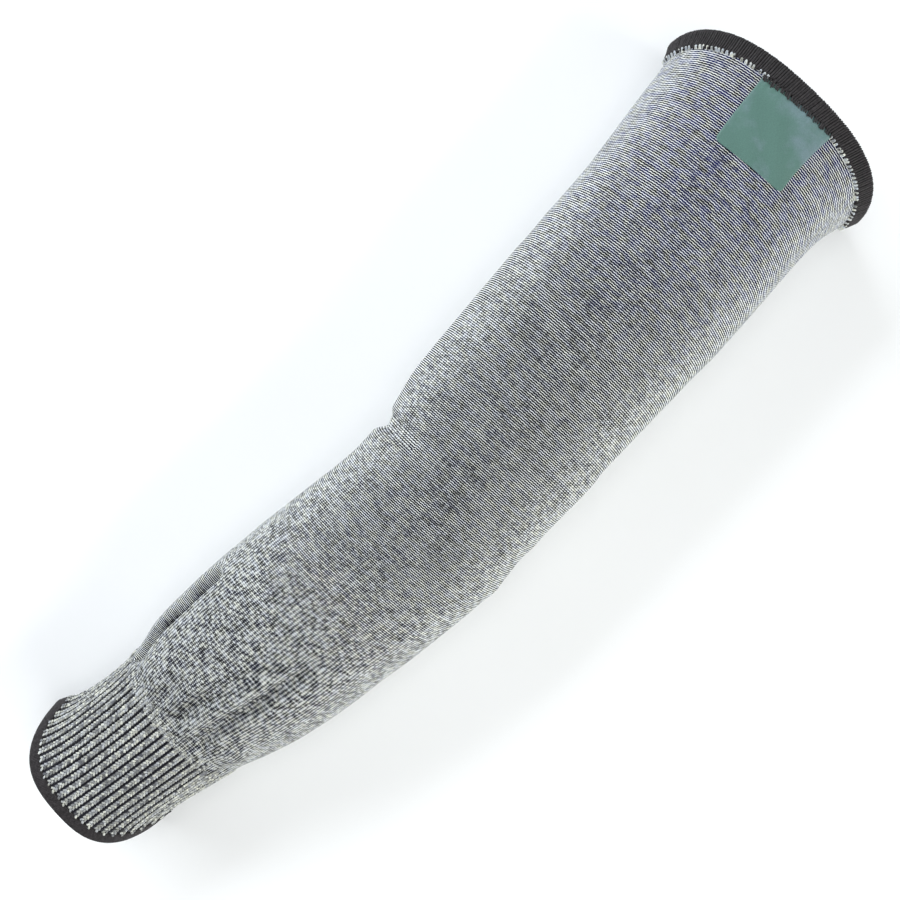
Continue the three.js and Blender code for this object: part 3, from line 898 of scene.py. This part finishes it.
def arm_tube():
    angles = np.arange(TUBE_SIDES) / TUBE_SIDES * 2 * math.pi
    last = from_end(1, angles, UPPER_BINDING_WALL + CLEARANCE)
    first = CUFF_END - 0.002

    def rows(shares, height):
        at = first + (last[None, :] - first) * shares[:, None]
        round_ = np.broadcast_to(angles, at.shape)
        return at, off_skin(at, round_, np.full(at.shape, height))

    outer_at, outer = rows(spaced_rows(), 0.0)
    inner_at, inner = rows(np.linspace(1, 0, TUBE_INNER_ROWS), -KNIT_WALL)
    at = np.concatenate([outer_at, inner_at])
    points = np.concatenate([outer, inner])
    wale = arc_share(plain_skin(at, np.broadcast_to(angles, at.shape))) * WALES
    course = course_of(np.concatenate([at, at[:, :1]], 1))
    piece = ring_body("arm_tube_jersey", points, JERSEY, np.stack([wale, course], -1))
    degrees = np.degrees(angles)[None, :]
    ladder = knit_ladder(at, degrees)
    set_attribute(piece.data, "ladder", ladder)
    # The light yarn's share holds painted shade and light: darker on top, paler at the sides, with the
    # painted shadow in the wrist crease and the painted light and shade beside the long creases.
    light = np.interp(degrees, *LIGHT_SHARES_WITH_PAINTED_SHADE.T) / (1 - LADDER_DIMMING * ladder)
    light = light - 0.27 * pocket_shade(at, degrees) + 0.12 * crease_shade(at, degrees)
    set_attribute(piece.data, "paleness_with_painted_shade", (light - 0.5) * np.interp(ladder, *PATTERN_STEEPNESS.T))
    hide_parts("arm_tube")
    return piece


def round_table(at):
    """Angles and, by length of the plain skin, their shares of the way round."""
    angles = np.linspace(0, 2 * math.pi, 721)
    ring = plain_skin(np.full(721, at), angles)
    lengths = np.concatenate([[0], np.cumsum(np.linalg.norm(np.diff(ring, axis=0), axis=1))])
    return lengths / lengths[-1], angles


def even_round(at, shares):
    return np.interp(np.mod(shares, 1), *round_table(at))


def rib_height(phase):
    """Height over the mean skin by the place across a rib: round ribs and narrow furrows."""
    furrow = np.exp(-(((phase % 1 - 0.5) / 0.15) ** 2))
    return RIB_DEPTH * (0.5 - 1.7 * furrow)


def rib_cuff():
    share = np.arange(CUFF_SIDES + 1) / CUFF_SIDES
    angles = even_round(CUFF_END / 2, share[:-1])
    edge = from_end(0, angles, WRIST_BINDING_WALL + CLEARANCE)
    end = CUFF_END + 0.004
    shares = np.linspace(0, 1, CUFF_ROWS)
    at = edge[None, :] + (end - edge[None, :]) * shares[:, None]
    round_ = np.broadcast_to(angles, at.shape)
    held = smooth(shares, 0.05, 0.2)[:, None] * (1 - 0.75 * smooth(shares, 0.9, 1.0))[:, None]
    rib = rib_height(share[:-1] * RIB_COUNT)[None, :]
    height = rib * held - 0.25 * smooth(shares, 0.93, 1.0)[:, None]
    outer = off_skin(at, round_, height)
    inner = off_skin(at[::-4], round_[::-4], np.full(at[::-4].shape, -KNIT_WALL))
    points = np.concatenate([outer, inner])
    all_at = np.concatenate([at, at[::-4]])
    wale = np.broadcast_to(share * WALES, (len(points), CUFF_SIDES + 1))
    course = course_of(np.concatenate([all_at, all_at[:, :1]], 1))
    piece = ring_body("rib_cuff_ground", points, RIB_GROUND, np.stack([wale, course], -1))
    # 1 on the ribs' crests and 0 in their furrows, which the ground's material darkens as painted shade.
    crest_lit = np.broadcast_to(np.clip(rib / RIB_DEPTH + 0.5, 0, 1), outer.shape[:2])
    set_attribute(piece.data, "crest_lit", np.concatenate([crest_lit, np.full(inner.shape[:2], 0.6)]))
    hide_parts("rib_cuff")
    return piece


def rib_stitches():
    """Rope of marled yarn on each rib: legs that lean in turn to either side. The first ones
    lie over the binding's edge, and the ribs end at uneven places in the plain knit."""
    angles = even_round(CUFF_END / 2, np.arange(RIB_COUNT) / RIB_COUNT)
    ends = CUFF_END + RANDOM.uniform(-0.001, 0.012, RIB_COUNT)
    starts = from_end(0, angles, WRIST_BINDING_WIDTH - RANDOM.uniform(-0.1, 0.7, RIB_COUNT))
    shares = (np.arange(RIB_ROWS) + 0.5) / RIB_ROWS
    fade = 1 - 0.7 * smooth(shares, 0.92, 1.0)[:, None]
    near = 1 - smooth(shares, 0.02, 0.07)[:, None]
    legs = []
    for side in (-1, 1):
        at = starts + (ends - starts) * (shares + side * 0.25 / RIB_ROWS)[:, None]
        place = frame_of(skin, at, np.broadcast_to(angles, at.shape))
        pitch = np.linalg.norm(np.gradient(place["point"], axis=0), axis=-1)
        rib_pitch = np.linalg.norm(place["point"] - np.roll(place["point"], -1, 1), axis=-1)
        aside = np.cross(place["out"], place["along"])
        aside /= np.linalg.norm(aside, axis=-1)[..., None]
        lean = math.radians(38) + RANDOM.uniform(-0.2, 0.2, at.shape)[..., None]
        height = 0.5 * RIB_DEPTH * fade - 0.08 + near * 0.6
        shift = (side * 0.15 * rib_pitch)[..., None]
        centre = place["point"] + aside * shift + place["out"] * height[..., None]
        direction = place["along"] * np.cos(lean) - aside * side * np.sin(lean)
        grow = np.stack([pitch * 0.74, rib_pitch * 0.175, np.full(pitch.shape, 0.36)], -1)
        grow *= RANDOM.uniform(0.8, 1.15, grow.shape)
        legs.append((centre, euler_of(direction, place["out"]), grow / 1000))
    centres, turns, sizes = (np.concatenate([leg[part].reshape(-1, 3) for leg in legs]) for part in range(3))
    mesh = new_mesh("rib_stitch_points", centres, [])
    set_attribute(mesh, "turn", turns, "FLOAT_VECTOR")
    set_attribute(mesh, "grow", sizes, "FLOAT_VECTOR")
    set_attribute(mesh, "fleck", np.clip(RANDOM.normal(0.70, 0.28, len(centres)), 0.08, 1.0))
    return grown("rib_stitches", mesh, STITCHES, {"Segments": 5, "Rings": 4, "Material": YARN})


def binding_base(name, end, width, top, count, node_name):
    """A closed soft strip round one edge, with the cloth's edge inside it, and count stitches."""
    angles = np.arange(EDGE_SIDES) / EDGE_SIDES * 2 * math.pi
    under = -KNIT_WALL - top
    section = [
        (width, 0.1), (width, top * 0.6), (width - 0.35, top * 0.92), (width - 1.0, top),
        (width * 0.5, top * 1.04), (1.0, top), (0.35, top * 0.8), (0.05, top * 0.4),
        (0.0, -KNIT_WALL * 0.5), (0.05, under + top * 0.6), (0.35, under + top * 0.2), (1.0, under),
        (width * 0.5, under - top * 0.04), (width - 1.0, under), (width - 0.35, under + top * 0.08),
        (width, under + top * 0.4), (width, -KNIT_WALL - 0.1),
    ]
    rows = np.array([
        at_edge(end, angles, distance, np.full(EDGE_SIDES, height)) for distance, height in section
    ])
    if end == 0:
        rows = rows[::-1]
    share = arc_share(rows)
    across = np.broadcast_to(np.linspace(0, 1, len(rows))[:, None], share.shape)
    piece = ring_body(name, rows, EDGING, np.stack([share * count, across], -1))
    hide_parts(node_name)
    return piece


def overlock_threads(top):
    """Threads that wrap the upper edge from its outer side to its inner side, over the binding."""
    base = (np.arange(OVERLOCK_THREADS) + RANDOM.uniform(-0.12, 0.12, OVERLOCK_THREADS)) / OVERLOCK_THREADS
    angles = even_round(0.985, base)
    reach = UPPER_BINDING_WIDTH + RANDOM.uniform(-0.35, 0.35, OVERLOCK_THREADS)
    reach += 0.45 * np.sin(base * 2 * math.pi * OVERLOCK_SCALLOPS)
    under = -KNIT_WALL - top
    path = [
        (1.0, 0.15), (0.97, top * 0.75), (0.86, top), (0.55, top * 1.07), (0.18, top * 1.04),
        (0.05, top * 0.75), (0.0, top * 0.1), (0.0, -KNIT_WALL), (0.05, under + top * 0.25),
        (0.18, under - top * 0.04), (0.55, under - top * 0.07), (0.90, under), (1.0, -KNIT_WALL - 0.15),
    ]
    slant = OVERLOCK_SLANT * 2 * math.pi / OVERLOCK_THREADS
    lines = []
    for index, (share, height) in enumerate(path):
        leaning = angles + slant * (0.5 - min(index / 6, 1))
        lines.append(at_edge(1, leaning, reach * share, np.full(OVERLOCK_THREADS, height)))
    thickness = RANDOM.uniform(0.85, 1.15, (OVERLOCK_THREADS, 1)) * np.ones(len(path))
    return thread_piece("upper_overlock_threads", np.stack(lines, 1), thickness, 0.50, 6, THREAD)


def edge_loops(top):
    """Short loops of light yarn that show at the inner side of the upper binding, not at the label."""
    base = (np.arange(EDGE_LOOPS) + RANDOM.uniform(-0.22, 0.22, EDGE_LOOPS)) / EDGE_LOOPS
    angles = even_round(0.97, base)
    middle, pace = label_middle()
    beside = np.abs(angles - middle) * pace > LABEL_WIDTH / 2 + 0.4
    angles = angles[beside & (RANDOM.random(EDGE_LOOPS) > 0.06)]
    count = len(angles)
    half = RANDOM.uniform(0.30, 0.46, count) / pace
    over = RANDOM.uniform(0.1, 0.6, count)
    leg = [(-1.0, 0.8, 0.05), (-1.0, 0.4, 0.45), (-0.8, -0.1, top * 0.9), (-0.4, -0.5, top + 0.06)]
    path = leg + [(0.0, -0.6, top + 0.08)] + [(-aside, along, height) for aside, along, height in leg[::-1]]
    lines = []
    for aside, along, height in path:
        distance = UPPER_BINDING_WIDTH + along * (over if along < 0 else 1.0)
        lines.append(at_edge(1, angles + half * aside, distance, np.full(count, height)))
    thickness = RANDOM.uniform(0.8, 1.25, (count, 1)) * np.ones(len(path))
    fleck = np.clip(RANDOM.normal(0.85, 0.2, count), 0.2, 1.0)
    return thread_piece("upper_edge_loops", np.stack(lines, 1), thickness, 0.36, 5, LOOP_YARN, fleck)


def label_middle():
    """The angle of the label's middle, and mm for a radian there."""
    quarter = np.array(math.pi / 2)
    pace = float(frame_of(cad_skin, np.array(1.0), quarter)["round_pace"])
    return math.pi / 2 - LABEL_SIDE_SHIFT / pace, pace


def label_place(across, up, height):
    """A point of the label from mm across and up from its middle."""
    turn = math.radians(LABEL_TURN)
    middle_round = np.array(label_middle()[0])
    overhang = LABEL_WIDTH / 2 * math.sin(turn) + LABEL_HEIGHT / 2 * math.cos(turn)
    middle_at = from_end(1, middle_round, UPPER_BINDING_WIDTH + 0.3 + overhang)
    middle = frame_of(plain_skin, middle_at, middle_round)
    along = up * math.cos(turn) + across * math.sin(turn)
    aside = across * math.cos(turn) - up * math.sin(turn)
    return off_skin(middle_at + along / middle["pace"], middle_round - aside / middle["round_pace"], height)


def label_patch():
    columns, rows = 44, 46
    up = np.linspace(-LABEL_HEIGHT / 2, LABEL_HEIGHT / 2 + 1.2, rows)
    low = np.clip(LABEL_CORNER - (up + LABEL_HEIGHT / 2), 0, LABEL_CORNER)
    half = LABEL_WIDTH / 2 - (LABEL_CORNER - np.sqrt(np.maximum(LABEL_CORNER**2 - low**2, 0)))
    across = np.linspace(-1, 1, columns)[None, :] * half[:, None]
    rise = np.broadcast_to(up[:, None], across.shape)
    near_top = smooth(rise, LABEL_HEIGHT / 2 - 7, LABEL_HEIGHT / 2)
    pucker = 0.22 * np.sin(across * 1.9 + 0.6) * near_top + 0.12 * np.sin(across * 0.42 + rise * 0.35)
    corner = smooth(np.abs(across), LABEL_WIDTH / 2 - 5, LABEL_WIDTH / 2) * smooth(-rise, 8, 16)
    height = 0.55 + pucker + 0.5 * corner + 0.5 * near_top
    over = label_place(across, rise, height + LABEL_THICKNESS * 0.6)
    below = label_place(across, rise, height)
    points = np.concatenate([over.reshape(-1, 3), below.reshape(-1, 3)])
    size = columns * rows
    faces = []
    for row in range(rows - 1):
        for column in range(columns - 1):
            first = row * columns + column
            quad = [first, first + 1, first + columns + 1, first + columns]
            faces.append(quad)
            faces.append([size + point for point in reversed(quad)])
    rim = list(range(columns))
    rim += [row * columns + columns - 1 for row in range(1, rows)]
    rim += [(rows - 1) * columns + column for column in range(columns - 2, -1, -1)]
    rim += [row * columns for row in range(rows - 2, 0, -1)]
    for here, there in zip(rim, rim[1:] + rim[:1]):
        faces.append([here, size + here, size + there, there])
    mesh = new_mesh("label_patch_satin", points, faces)
    flat = np.stack([across / LABEL_WIDTH + 0.5, rise / LABEL_HEIGHT + 0.5], -1).reshape(-1, 2)
    flat = np.concatenate([flat, flat])
    index = np.zeros(len(mesh.loops), np.int32)
    mesh.loops.foreach_get("vertex_index", index)
    set_uv(mesh, flat[index])
    piece = new_piece("label_patch_satin", mesh, LABEL)
    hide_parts("label_patch")
    return piece


def label_stitches():
    """Charcoal overlock threads that bite into the label's top edge."""
    count = LABEL_THREADS
    across = np.linspace(-LABEL_WIDTH / 2 + 0.5, LABEL_WIDTH / 2 - 0.5, count)
    across = across + RANDOM.uniform(-0.35, 0.35, count)
    ragged = 0.7 * np.sin(across * 0.55 + 1.0) + 0.5 * np.sin(across * 1.7)
    bite = RANDOM.uniform(-0.3, 0.6, count) + 0.5 * ragged + 0.7 * (RANDOM.random(count) > 0.8)
    bite = np.clip(bite, 0.1, 1.8)
    top = LABEL_HEIGHT / 2
    lines = []
    for share, height in ((-1.0, 1.9), (-0.4, 1.95), (0.35, 1.75), (0.8, 1.5), (1.0, 0.9)):
        along = top - share * (bite if share > 0 else np.full(count, 1.76))
        lines.append(label_place(across + 0.35 * share, along, np.full(count, height)))
    lines = np.stack(lines, 1)
    thickness = np.array([1.0, 1.0, 0.95, 0.7, 0.35]) * RANDOM.uniform(0.7, 1.2, (count, 1))
    return thread_piece("label_stitches", lines, thickness, 0.40, 6, THREAD)


WRIST_TOP = CLEARANCE + WRIST_BINDING_WALL - 0.1
UPPER_TOP = CLEARANCE + UPPER_BINDING_WALL - 0.35
tube = arm_tube()
cuff = rib_cuff()
ribs = rib_stitches()
wrist_band = binding_base(
    "wrist_binding_band", 0, WRIST_BINDING_WIDTH, WRIST_TOP, WRIST_EDGE_STITCHES, "wrist_binding")
upper_band = binding_base(
    "upper_binding_band", 1, UPPER_BINDING_WIDTH, UPPER_TOP, UPPER_EDGE_STITCHES, "upper_binding")
upper_threads = overlock_threads(UPPER_TOP)
upper_loops = edge_loops(UPPER_TOP + 0.2)
label = label_patch()
label_threads = label_stitches()


# Floor, light and camera

def floor():
    reach, level = 3.0, -0.0002
    mesh = bpy.data.meshes.new("floor")
    corners = [(x, y, level) for x, y in ((-reach, -reach), (reach, -reach), (reach, reach), (-reach, reach))]
    mesh.from_pydata(corners, [], [(0, 1, 2, 3)])
    material, tree, surface = new_material("white_floor", 0.9)
    clouds = ranged(tree, noise(tree, object_place(tree), 6.0), 0.3, 0.7, 0.0, 1.0)
    tone = mixed(tree, clouds, (0.86, 0.86, 0.86, 1), (0.88, 0.88, 0.88, 1))
    tree.links.new(tone, surface.inputs["Base Color"])
    mesh.materials.append(material)
    added("floor", mesh)


def area_light(name, place, target, size, power, color):
    data = bpy.data.lights.new(name, "AREA")
    data.shape = "RECTANGLE"
    data.size, data.size_y = size
    data.energy = power
    data.color = color
    lamp = added(name, data)
    lamp.location = place
    lamp.rotation_euler = (Vector(target) - Vector(place)).to_track_quat("-Z", "Y").to_euler()


def studio():
    area_light("side_light_cool", (0, 1.0, 0.55), (0, 0, 0.02), (1.3, 0.6), 19, (0.90, 0.955, 1.0))
    area_light("side_light_pale", (0, -1.0, 0.55), (0, 0, 0.02), (1.3, 0.6), 15, (0.97, 1.0, 0.985))
    area_light("top_light", (0, 0, 1.6), (0, 0, 0), (1.2, 1.2), 6.5, (1, 1, 1))
    world = bpy.data.worlds.new("studio")
    world.use_nodes = True
    background = world.node_tree.nodes["Background"]
    background.inputs["Color"].default_value = (0.95, 0.97, 1.0, 1)
    background.inputs["Strength"].default_value = 0.28
    bpy.context.scene.world = world
    bpy.context.scene.view_settings.view_transform = "Standard"


def camera():
    """Straight above, at the distance and turn that the outline in the photograph gives."""
    image_width = 900
    focal_pixels = 1472.6
    shift_pixels = 18
    data = bpy.data.cameras.new("camera")
    data.sensor_width = 36
    data.lens = focal_pixels * data.sensor_width / image_width
    data.shift_x = shift_pixels / image_width
    data.clip_start = 0.01
    eye = added("camera", data)
    eye.location = ((3.5 + SHIFT[0]) / 1000, SHIFT[1] / 1000, 0.700)
    eye.rotation_euler = (0, 0, -math.radians(43.9))
    bpy.context.scene.camera = eye


floor()
studio()
camera()
